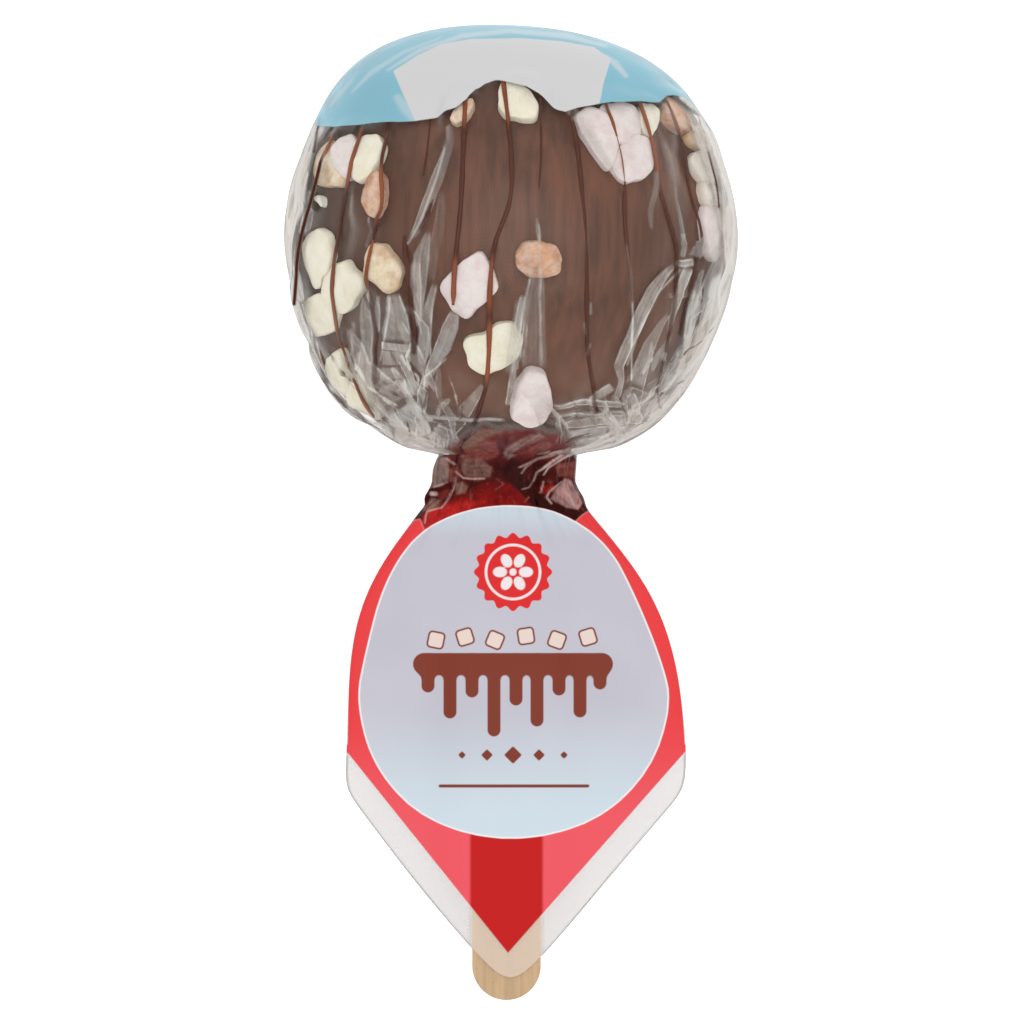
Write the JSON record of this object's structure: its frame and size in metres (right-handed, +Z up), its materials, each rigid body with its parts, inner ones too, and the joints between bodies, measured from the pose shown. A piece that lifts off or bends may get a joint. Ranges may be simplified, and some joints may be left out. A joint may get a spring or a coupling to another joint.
{
  "type": "chocolate covered apple",
  "caption": "Round chocolate covered apple with marshmallow pieces, shut in a clear film bag that gathers at a neck into a flat V-ended tail round a wooden stick; rests on its side.",
  "frame": {"origin": "on the surface that the apple lies on, under the middle of the whole part's box", "axes": "+Z up towards the shown side, +Y along the stick towards the apple's crown, +X across the tail"},
  "size_m": [0.0724, 0.1558, 0.0708],
  "materials": {
    "wrapped_chocolate": "milk chocolate seen through glossy clear film",
    "bare_wood": "pale sanded wood, uncoated",
    "milk_chocolate": "satin milk chocolate",
    "chocolate_drizzle": "satin, thin strings",
    "marshmallow_cream": "soft powdery matte",
    "marshmallow_pink": "soft powdery matte",
    "marshmallow_tan": "soft matte, stained by the chocolate",
    "clear_film": "glossy clear film with fine creases",
    "printed_film": "glossy film with flat fields of ink"
  },
  "bodies": {
    "root": {"film_bag": "wrapped_chocolate", "stick": "bare_wood"}
  },
  "joints": []
}
